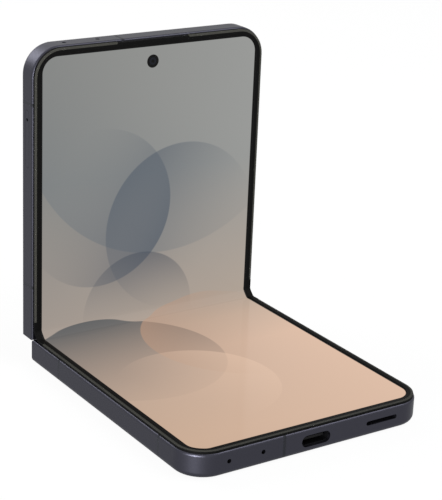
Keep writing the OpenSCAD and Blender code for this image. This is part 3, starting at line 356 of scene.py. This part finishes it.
def woven_mesh(name, node, body, pitch):
    """Crossing wires that fill a node's box from side to side, in its place."""
    low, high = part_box(node)
    middle, size = (low + high) / 2, high - low
    wire, gap = pitch * WIRE_SHARE / MM, pitch / MM
    columns, lines = int(size.x / gap), int(size.z / gap)
    depth = size.y / 2
    piece = rows_of_boxes(
        name, woven_tree,
        (columns, (middle.x - gap * (columns - 1) / 2, middle.y - depth / 2, middle.z), (gap, 0, 0),
         (wire, depth, size.z)),
        (lines, (middle.x, middle.y + depth / 2, middle.z - gap * (lines - 1) / 2), (0, 0, gap),
         (size.x, depth, wire)))
    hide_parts(node)
    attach(piece, body)


woven_tree = row_tree("woven_wires", finish("woven_mesh", srgb(18, 18, 20), 0.6, grain=9.0, tint=0.5))
woven_mesh("loudspeaker_wires", "loudspeaker_mesh", "lower_half", LOUDSPEAKER_PITCH)
woven_mesh("earpiece_wires", "earpiece_mesh", "upper_half", EARPIECE_PITCH)

# ------------------------------------------------------------------ charging port
# A drawn steel shell round a moulded tongue, the shell coloured dark as painted shade for the shade
# inside the port. Twelve gilt contacts lie side by side on each face of the tongue, and the shell's
# tail is soldered to the charging board.
PORT_X, PORT_V = 0.6, -3.78
TONGUE_FRONT_S, TONGUE_T, CONTACT_SETBACK = 81.8, 0.7, 0.5
CONTACTS, CONTACT_PITCH = 12, 0.5
CONTACT_W, CONTACT_LEN, CONTACT_T = 0.28, 3.2, 0.04

# The shell's dark grey is painted shade: it stands for the shade inside the port.
dress(finish("port_shell_painted_shade", srgb(38, 38, 41), 0.5, 1.0, grain=5.0), "usb_c_shell")
dress(finish("port_tongue", srgb(11, 11, 12), 0.6, grain=4.0, Specular_IOR_Level=0.15),
      "usb_c_tongue")


def lower(x, s, v):
    """A point of the lower half, in metres. s runs out from the fold and v out of the display."""
    return Vector((x, FOLD_Y - s, FOLD_Z + v)) / MM


gilt = finish("gilt_contacts", srgb(200, 165, 95), 0.28, 1.0, grain=6.0, bump=0.002)
contact_rows = []
for way in (-1, 1):  # under the tongue and over it, each contact let in by a quarter of its thickness
    start = lower(PORT_X - CONTACT_PITCH * (CONTACTS - 1) / 2, TONGUE_FRONT_S - CONTACT_SETBACK
                  - CONTACT_LEN / 2, PORT_V + way * (TONGUE_T / 2 + CONTACT_T / 4))
    contact_rows.append((CONTACTS, start, (CONTACT_PITCH / MM, 0, 0),
                         (CONTACT_W / MM, CONTACT_LEN / MM, CONTACT_T / MM)))
contacts = rows_of_boxes("port_contacts", row_tree("contact_rows", gilt), *contact_rows)
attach(contacts, "lower_half")

# ------------------------------------------------------------------ display plates
# Stamped steel plates, glued to the frames behind the flat stretches of the display.
# They end where the bend starts.
dress(stamped_steel, "lower_display_plate", "upper_display_plate")

# ------------------------------------------------------------------ folding display
# Lit layers under a plastic film, glued to the plates and free over the fold. It is drawn in two
# halves that meet at the middle of the fold. Each is flat out to the bend, and from there is drawn
# round the bend as it lies at rest.
HALF_W, HALF_LEN, CORNER_R = 36.9, 83.5, 8.3  # of a half's outline
AXIS_S, AXIS_V, REST_TURN = 2.0, 1.7, math.pi / 4  # a hinge's axis, and how far it is turned at rest
FOLD_S, BEND_ROUND = 4.0, 0.6  # where the bend starts, and how far it is drawn to a round one
FOLD_MIDDLE = AXIS_S - CORNER - (AXIS_S - AXIS_V) * math.cos(REST_TURN)
FOLD_REACH = AXIS_S + AXIS_S - CORNER - FOLD_MIDDLE
SETTLING_STEPS = 60
PANEL_INSET, PANEL_T, PANEL_COLUMNS = 1.36, 0.1, 13
CORNER_ROWS, CORNER_START, FLAT_ROWS, FOLD_ROWS = 11, 4, (60, 40, 20, 8), 21  # start in degrees
PANEL_MARK = 100  # millimetres to a unit of the sheet's marks
ACTIVE_X, ACTIVE_S, ACTIVE_R, ACTIVE_SOFT = 34.1, 80.8, 4.6, 0.04
FRONT_CAMERA_S, FRONT_CAMERA_R = 76.6, 1.86
FRONT_RING_IN, FRONT_RING_OUT = (0.45, 0.6), (1.15, 0.95)


def upper(x, s, v):
    """A point of the upper half, as it stands at rest, in metres."""
    return Vector((x, FOLD_Y - CORNER - v, FOLD_Z - CORNER + s)) / MM


def fold_point(s, v):
    """Place at rest of a point on or over the bend, s from the middle of the fold when it is flat.
    Returns its distances from the line where the displays' planes meet, along the half and out."""
    ahead, height = AXIS_S - s, AXIS_V + v
    share = (ahead + AXIS_S) / (2 * AXIS_S)
    for _ in range(SETTLING_STEPS):
        turn = share * REST_TURN
        along = ahead * math.cos(turn) - height * math.sin(turn)
        t = min(max((along + AXIS_S) / FOLD_REACH, 0), 1)
        share = 0.5 * share + 0.5 * t * t * (3 - 2 * t)
    turn = share * REST_TURN
    along = AXIS_S - CORNER - ahead * math.cos(turn) + height * math.sin(turn)
    out = ahead * math.sin(turn) + height * math.cos(turn) - AXIS_V
    centre = FOLD_S - CORNER
    away = math.hypot(along - centre, out - centre)
    rounder = 1 + BEND_ROUND * (centre - v - away) / away
    return centre + (along - centre) * rounder, centre + (out - centre) * rounder


def lower_bent(x, s, v):
    along, out = fold_point(s, v) if s < FOLD_S else (s - CORNER, v)
    return lower(x, along + CORNER, out)


def upper_bent(x, s, v):
    along, out = fold_point(s, v) if s < FOLD_S else (s - CORNER, v)
    return upper(x, along + CORNER, out)


def loft(name, rings, material, marks=None, sharp=40):
    """Closed mesh through rings of points, with flat ends. marks are pairs of numbers for each
    point, kept as its UV. Edges sharper than sharp degrees stay crisp."""
    count = len(rings[0])
    points = [p for ring in rings for p in ring]
    faces = [tuple(range(count)), tuple(range(len(points) - 1, len(points) - 1 - count, -1))]
    for i in range(len(rings) - 1):
        for j in range(count):
            k = (j + 1) % count
            faces.append((i * count + j, (i + 1) * count + j, (i + 1) * count + k, i * count + k))
    mesh = bpy.data.meshes.new(name)
    mesh.from_pydata([tuple(p) for p in points], [], faces)
    if marks:
        flat = [mark for ring in marks for mark in ring]
        layer = mesh.uv_layers.new(name="marks")
        for loop in mesh.loops:
            layer.data[loop.index].uv = flat[loop.vertex_index]
    tool = bmesh.new()
    tool.from_mesh(mesh)
    bmesh.ops.recalc_face_normals(tool, faces=tool.faces)
    tool.to_mesh(mesh)
    tool.free()
    mesh.shade_smooth()
    mesh.set_sharp_from_angle(angle=math.radians(sharp))
    mesh.materials.append(material)
    made = bpy.data.objects.new(name, mesh)
    scene.collection.objects.link(made)
    return made


def marks_of(material):
    """The two numbers of the UV layer that loft writes."""
    uv = material.node_tree.nodes.new("ShaderNodeUVMap")
    uv.uv_map = "marks"
    return Value(material.node_tree, uv.outputs[0]).parts()[:2]


# The picture's discs: middle across and along, radius, colour, depth, the side in radians at which
# it is deepest, and how far it fades past its middle.
SLATE = srgb(76, 88, 102)
DISCS = [(6, 66, 46, srgb(112, 120, 126), 0.5, -2.2, 0.1),
         (-16, 36, 23, SLATE, 0.7, -0.5, 0.7),
         (11, 27, 25, SLATE, 0.6, 2.4, 0.6),
         (-3, 3, 18, srgb(72, 80, 92), 0.6, 1.5, 0.3),
         (-20, -25, 27, srgb(88, 90, 92), 0.95, 1.6, 1.4),
         (18, -24, 29, srgb(186, 150, 126), 0.6, 2.6, 0.4),
         (-12, -48, 22, srgb(226, 194, 170), 0.5, 0.4, 0.5)]
DISC_RIM, DISC_FALL = 0.15, 1.6  # half the width of a disc's soft rim, and the power of its fading


def lit_display():
    """Soft discs over a gradient from grey to peach, inside a black border with round corners."""
    material, shader, place = new_material("lit_display", Specular_IOR_Level=0.025,
                                           Emission_Strength=1.0)
    x, s = (mark * PANEL_MARK for mark in marks_of(material))

    # s is over 0 on the upper half and under 0 on the lower one.
    across = x.ramp(-36, 36)
    peach = s.ramp(5, -75).blend(srgb(168, 155, 145), srgb(202, 172, 149))
    warm_peach = s.ramp(2, -30).blend(srgb(182, 164, 148), srgb(219, 186, 163))
    grey = across.blend(srgb(134, 135, 133), srgb(152, 153, 151))
    picture = s.ramp(-12, 45).blend(across.blend(peach, warm_peach), grey)
    for centre_x, centre_s, radius, colour, depth, lean, fade in DISCS:
        dx, ds = x - centre_x, s - centre_s
        away = (dx * dx + ds * ds) ** 0.5
        inside = away.ramp(radius + DISC_RIM, radius - DISC_RIM)
        side = (dx * math.cos(lean) + ds * math.sin(lean)) / radius
        strength = side.ramp(-fade, 1.0) ** DISC_FALL
        picture = (inside * strength * depth).blend(picture, colour)

    # The distance past the border of the lit area, which has round corners.
    past_x = abs(x) - (ACTIVE_X - ACTIVE_R)
    past_s = abs(s) - (ACTIVE_S - ACTIVE_R)
    out_x, out_s = past_x.most(0.0), past_s.most(0.0)
    edge = (out_x * out_x + out_s * out_s) ** 0.5 + past_x.most(past_s).least(0.0) - ACTIVE_R
    spot_s = s - FRONT_CAMERA_S
    spot = (x * x + spot_s * spot_s) ** 0.5
    clear = spot.ramp(FRONT_CAMERA_R - ACTIVE_SOFT, FRONT_CAMERA_R + ACTIVE_SOFT)
    black = [0.003, 0.003, 0.003, 1]
    (edge.ramp(ACTIVE_SOFT, -ACTIVE_SOFT) * clear).blend(black, picture).feed(shader, "Emission Color")
    lens = spot.ramp(*FRONT_RING_OUT) * spot.ramp(*FRONT_RING_IN)
    lens.blend(black, srgb(19, 20, 25)).feed(shader, "Base Color")
    (place.noise(1.0) * 0.04 + 0.1).feed(shader, "Roughness")
    return material


def panel_rows():
    """Rows of the sheet, as s and half width, round the outer corners and along to the fold."""
    radius = CORNER_R - PANEL_INSET
    side, end = HALF_W - PANEL_INSET, HALF_LEN - PANEL_INSET
    rows = []
    for i in range(CORNER_ROWS):
        angle = math.radians(CORNER_START + (90 - CORNER_START) * (1 - i / (CORNER_ROWS - 1)))
        rows.append((end - radius + radius * math.sin(angle), side - radius + radius * math.cos(angle)))
    rows += [(s, side) for s in FLAT_ROWS]
    return rows + [(FOLD_S * (1 - i / (FOLD_ROWS - 1)), side) for i in range(FOLD_ROWS)]


def panel(name, bent, sign, material):
    """One half of the sheet. sign tells the halves apart in its marks."""
    rings, marks = [], []
    for s, side in panel_rows():
        across = [side * (2 * i / (PANEL_COLUMNS - 1) - 1) for i in range(PANEL_COLUMNS)]
        rings.append([bent(x, s, 0) for x in across] + [bent(x, s, -PANEL_T) for x in reversed(across)])
        mark = [(x / PANEL_MARK, sign * s / PANEL_MARK) for x in across]
        marks.append(mark + mark[::-1])
    return loft(name, rings, material, marks)


def follow_fold(low, high, slot, *nodes):
    """Stands a pair of pieces in for nodes of the bend."""
    for piece in (low, high):
        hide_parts(*nodes)
    lower(0, FOLD_S, 0)
    lower(0, CORNER + FOLD_MIDDLE, 0)
    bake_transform(low)
    upper(0, CORNER + FOLD_MIDDLE, 0)
    upper(0, FOLD_S, 0)
    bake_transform(high)


lit = lit_display()
lower_display = panel("lower_display", lower_bent, -1, lit)
upper_display = panel("upper_display", upper_bent, 1, lit)
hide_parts("lower_display_panel")
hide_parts("upper_display_panel")
follow_fold(lower_display, upper_display, "display_sheet", "fold_display")

# ------------------------------------------------------------------ sheets behind the bend
# A spring steel sheet, etched with slits and glued behind the display's bend, and the flat cable of
# copper in amber film that is plugged in at both halves. Each is drawn in two halves that bend as
# the display does.
STEEL_X, STEEL_TOP, STEEL_BOTTOM = 35.2, -0.3, -0.42
FLEX_X, FLEX_TOP, FLEX_BOTTOM = 7.0, -1.36, -1.46
FLEX_LOWER_END, FLEX_UPPER_END, FLEX_MIDDLE = 64.04, 43.04, 30
FOLD_STEPS = 16
fold_stations = [FOLD_S * (1 - i / FOLD_STEPS) for i in range(FOLD_STEPS + 1)]


def bent_bar(name, bent, x, top, bottom, stations, material):
    """A flat bar through the stations, reaching x to each side, from top down to bottom."""
    rings = [[bent(-x, s, top), bent(x, s, top), bent(x, s, bottom), bent(-x, s, bottom)]
             for s in stations]
    return loft(name, rings, material)


spring_sheet = finish("slit_steel", srgb(140, 140, 144), 0.3, 1.0, grain=4.0, stretch=(0.1, 4, 4))
cable_film = finish("cable_film", srgb(150, 95, 35), 0.4, grain=2.0)
follow_fold(bent_bar("lower_fold_steel", lower_bent, STEEL_X, STEEL_TOP, STEEL_BOTTOM, fold_stations,
                     spring_sheet),
            bent_bar("upper_fold_steel", upper_bent, STEEL_X, STEEL_TOP, STEEL_BOTTOM, fold_stations,
                     spring_sheet), "steel", "fold_steel_sheet")
follow_fold(bent_bar("lower_cable", lower_bent, FLEX_X, FLEX_TOP, FLEX_BOTTOM,
                     [FLEX_LOWER_END, FLEX_MIDDLE] + fold_stations, cable_film),
            bent_bar("upper_cable", upper_bent, FLEX_X, FLEX_TOP, FLEX_BOTTOM,
                     [FLEX_UPPER_END, FLEX_MIDDLE] + fold_stations, cable_film),
            "flex_film", "interconnect_flex")

# ------------------------------------------------------------------ rubber strips at the fold
# Strips moulded in black rubber, glued along the display's edges, that carry the bezels' line
# round the bend. Each side has one strip, drawn in two halves as the display is.
BEZEL_S = 5.8
STRIP_ENDS = [BEZEL_S, 5.0, 4.4]
STRIP = [(0.38, -0.02), (0.38, 0.15), (0.44, 0.2), (0.56, 0.23), (2.05, 0.23), (2.16, 0.2),
         (2.24, 0.12), (2.26, -0.02)]  # section, as distance in from the side and v
rubber = finish("fold_rubber", srgb(9, 9, 9), 0.6, grain=4.0, Specular_IOR_Level=0.03)


def strip(name, bent, side):
    rings = [[bent(side * (HALF_W - inset), s, v) for inset, v in STRIP]
             for s in STRIP_ENDS + fold_stations]
    return loft(name, rings, rubber, sharp=50)


for side, word in ((-1, "left"), (1, "right")):
    follow_fold(strip(f"lower_strip_{word}", lower_bent, side),
                strip(f"upper_strip_{word}", upper_bent, side), "fold_rubber", "fold_edge_strips")

# ------------------------------------------------------------------ bezels
# A rim of black matt plastic, moulded and bonded round each display. Its slope beside the metal is
# painted grey, a painted highlight for the light that the slope catches, and it is black from there in
# to the display. The upper one is cut back where the earpiece's slot lies.
BEZEL = [(0.38, -0.56), (0.38, 0.04), (0.41, 0.11), (0.47, 0.16), (0.56, 0.19), (1.0, 0.24),
         (1.08, 0.245), (1.14, 0.24), (1.9, 0.22), (2.1, 0.19), (2.2, 0.13), (2.25, 0.05),
         (2.26, 0.006), (1.27, 0.006), (1.27, -0.11), (1.22, -0.11),
         (1.22, -0.56)]  # section, as distance in from the outline and v
# The slope lies between SLOPE_IN and SLOPE_OUT in from the outline, and is painted grey as a painted
# highlight.
SLOPE_IN, SLOPE_OUT, SLOPE_SOFT = 0.42, 1.07, 0.03
PAST_SLOPE = SLOPE_OUT + 0.3  # a mark that is black
BEZEL_MARK = 10  # millimetres to a unit of the rim's marks
SLOT_X, SLOT_INSET, SLOT_TAPER = 11.7, 0.8, 0.5
RIM_MIDDLE, RIM_CORNER_STEPS = 40, 14


def bezel_plastic():
    """Black matt plastic with fine specks. The slope is painted grey as a painted highlight, and the rest
    is black.
    """
    material, shader, place = new_material("bezel_plastic", Specular_IOR_Level=0.03)
    inset = marks_of(material)[0] * BEZEL_MARK
    # The slope's mask and its grey below are a painted highlight: the light that the slope catches, put
    # into its colour.
    slope_highlight = (inset.ramp(SLOPE_IN - SLOPE_SOFT, SLOPE_IN + SLOPE_SOFT)
             * inset.ramp(SLOPE_OUT + SLOPE_SOFT, SLOPE_OUT - SLOPE_SOFT))
    speck = place.noise(6.0)
    grey = speck.ramp(*NOISE_RANGE).blend(srgb(44, 44, 41), srgb(56, 56, 52))
    slope_highlight.blend(srgb(9, 9, 9), grey).feed(shader, "Base Color")
    (0.62 - speck * 0.1).feed(shader, "Roughness")
    relief = {"Height": speck, "Strength": 0.3, "Distance": 0.006 / MM}
    place.node("Bump", relief).feed(shader, "Normal")
    return material


def rim_stations(slot):
    """Stations along a half's outline from one side of the fold to the other: x, s, the outward
    direction, and 1 where the earpiece's slot is, if slot is set."""
    centre_x, centre_s = HALF_W - CORNER_R, HALF_LEN - CORNER_R
    stations = [(-HALF_W, BEZEL_S, -1, 0, 0), (-HALF_W, RIM_MIDDLE, -1, 0, 0)]
    for side, first in ((-1, 180), (1, 90)):
        for i in range(RIM_CORNER_STEPS + 1):
            angle = math.radians(first - 90 * i / RIM_CORNER_STEPS)
            nx, ns = math.cos(angle), math.sin(angle)
            stations.append((side * centre_x + CORNER_R * nx, centre_s + CORNER_R * ns, nx, ns, 0))
        if side == -1 and slot:
            for x, cut in ((-SLOT_X, 0), (SLOT_TAPER - SLOT_X, 1), (SLOT_X - SLOT_TAPER, 1), (SLOT_X, 0)):
                stations.append((x, HALF_LEN, 0, 1, cut))
    return stations + [(HALF_W, RIM_MIDDLE, 1, 0, 0), (HALF_W, BEZEL_S, 1, 0, 0)]


def rim(name, place, slot, material):
    """The section set square to the outline at each station, cut back at the slot."""
    rings, marks = [], []
    for x, s, nx, ns, cut in rim_stations(slot):
        section = [(max(inset, SLOT_INSET) if cut else inset, v) for inset, v in BEZEL]
        rings.append([place(x - nx * inset, s - ns * inset, v) for inset, v in section])
        marks.append([((PAST_SLOPE if cut else inset) / BEZEL_MARK, v / BEZEL_MARK) for inset, v in BEZEL])
    return loft(name, rings, material, marks)


bezel = bezel_plastic()
for name, place, body in (("lower_bezel", lower, "lower_half"), ("upper_bezel", upper, "upper_half")):
    piece = rim(name + "_rim", place, body == "upper_half", bezel)
    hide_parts(name)
    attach(piece, body)

# ------------------------------------------------------------------ rear cameras and flash
# Turned aluminium rings with dark glass windows, through which the lens barrels show as rings.
# They and the flash's pale frosted lens are glued into seats of the upper cover.
REAR_S, REAR_X = 71.3, (24.5, 8.8)  # the middles of the two cameras
LENS_EDGE = srgb(7, 7, 8)
LENS_RINGS = [(5.2, 5.1, srgb(26, 26, 28)), (4.3, 4.18, srgb(10, 10, 12)),
              (3.6, 3.1, srgb(24, 28, 46)), (1.9, 1.6, srgb(6, 6, 10))]
# Each ring starts at the first radius, is full from the second one in, and has the colour.
# The glint is a painted reflection: a purple ring painted into the glass's colour, where the lenses'
# coating would mirror light.
GLINT_OUT, GLINT_IN, GLINT = (1.4, 1.0), (0.5, 0.9), srgb(40, 30, 66)


def lens_glass():
    """The rings of both lens barrels under their windows, by distance from the nearer middle, and a purple
    ring of painted reflection from the lenses' coating.
    """
    material, shader, place = new_material("lens_glass", Specular_IOR_Level=0.2, Coat_Weight=0.15,
                                           Coat_Roughness=0.03)
    x, _, z = place.parts()
    up_by = z * MM - (FOLD_Z - CORNER + REAR_S)
    aside = abs(x * MM - sum(REAR_X) / 2) - (REAR_X[0] - REAR_X[1]) / 2
    away = (aside * aside + up_by * up_by) ** 0.5
    picture = LENS_EDGE
    for start, full, colour in LENS_RINGS:
        picture = away.ramp(start, full).blend(picture, colour)
    painted_glint = away.ramp(*GLINT_OUT) * away.ramp(*GLINT_IN)
    painted_glint.blend(picture, GLINT).feed(shader, "Base Color")
    (place.noise(0.4) * 0.04 + 0.05).feed(shader, "Roughness")
    return material


dress(anodised, "camera_rings")
dress(lens_glass(), "camera_windows")
dress(finish("flash_lens", srgb(235, 228, 200), 0.3, grain=5.0), "flash_lens")

# ------------------------------------------------------------------ side keys and SIM tray
# Milled aluminium keys, and the tray's head, anodised with the frames. The tray has a rubber seal
# and carries the card into a stamped steel socket.
dress(anodised, "power_key", "volume_key", "sim_tray")
dress(stamped_steel, "sim_socket")
dress(finish("tray_rubber", srgb(28, 28, 30), 0.6, grain=3.0), "sim_tray_seal")
dress(finish("sim_card", srgb(225, 225, 228), 0.45, grain=2.0), "sim_card")

# ------------------------------------------------------------------ back covers
# Frosted glass over the lower half, and over the upper half clear black glass with the cover
# display behind it. A frame of black tape holds each in its seat.
dress(finish("frosted_back", srgb(58, 60, 70), 0.42, grain=8.0, tint=0.05, Coat_Weight=0.3,
             Coat_Roughness=0.3), "lower_back_cover")
dress(finish("clear_back", srgb(9, 9, 11), 0.08, grain=0.2, tint=0.2, wear=0.03, bump=0.0005,
             Specular_IOR_Level=0.3), "upper_back_cover")
dress(finish("cover_display", srgb(14, 14, 16), 0.2, grain=1.0), "cover_display")
dress(finish("cover_tape", srgb(25, 25, 26), 0.9), "lower_cover_tape", "upper_cover_tape")
